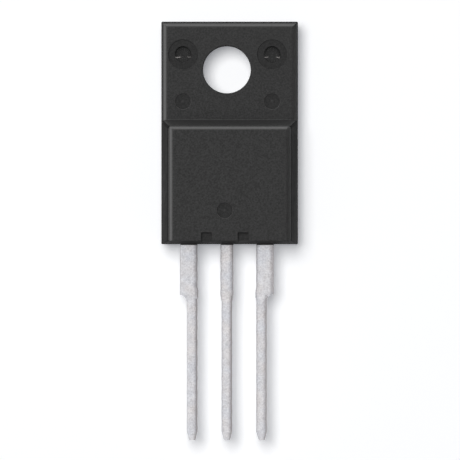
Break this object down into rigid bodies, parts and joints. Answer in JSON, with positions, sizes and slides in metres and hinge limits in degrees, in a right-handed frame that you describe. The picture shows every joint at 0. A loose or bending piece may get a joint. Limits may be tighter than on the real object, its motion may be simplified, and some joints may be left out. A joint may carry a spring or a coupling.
{
  "type": "power transistor",
  "caption": "Fully moulded power transistor: stepped black body with a screw-hole tab, and straight tinned leads on one edge.",
  "frame": {"origin": "on the screw hole's axis, in the plane of the flat mounting face", "axes": "+Z along the screw hole, out of the front with the mould marks; +Y from the leads towards the tab; +X to the right as seen from the front"},
  "size_m": [0.01, 0.0306, 0.0045],
  "materials": {
    "epoxy": "fine-grained black moulding compound",
    "tinned_copper": "matt tin plating over copper",
    "solder": "matt solder",
    "silicon": "polished, dark grey",
    "bond_wire": "drawn aluminium"
  },
  "bodies": {
    "root": {"moulding": "epoxy", "pin_1_lead": "tinned_copper", "pin_2_spreader": "tinned_copper", "pin_3_lead": "tinned_copper", "die_solder": "solder", "silicon_die": "silicon", "control_wire": "bond_wire", "main_wire_a": "bond_wire", "main_wire_b": "bond_wire"}
  },
  "joints": []
}
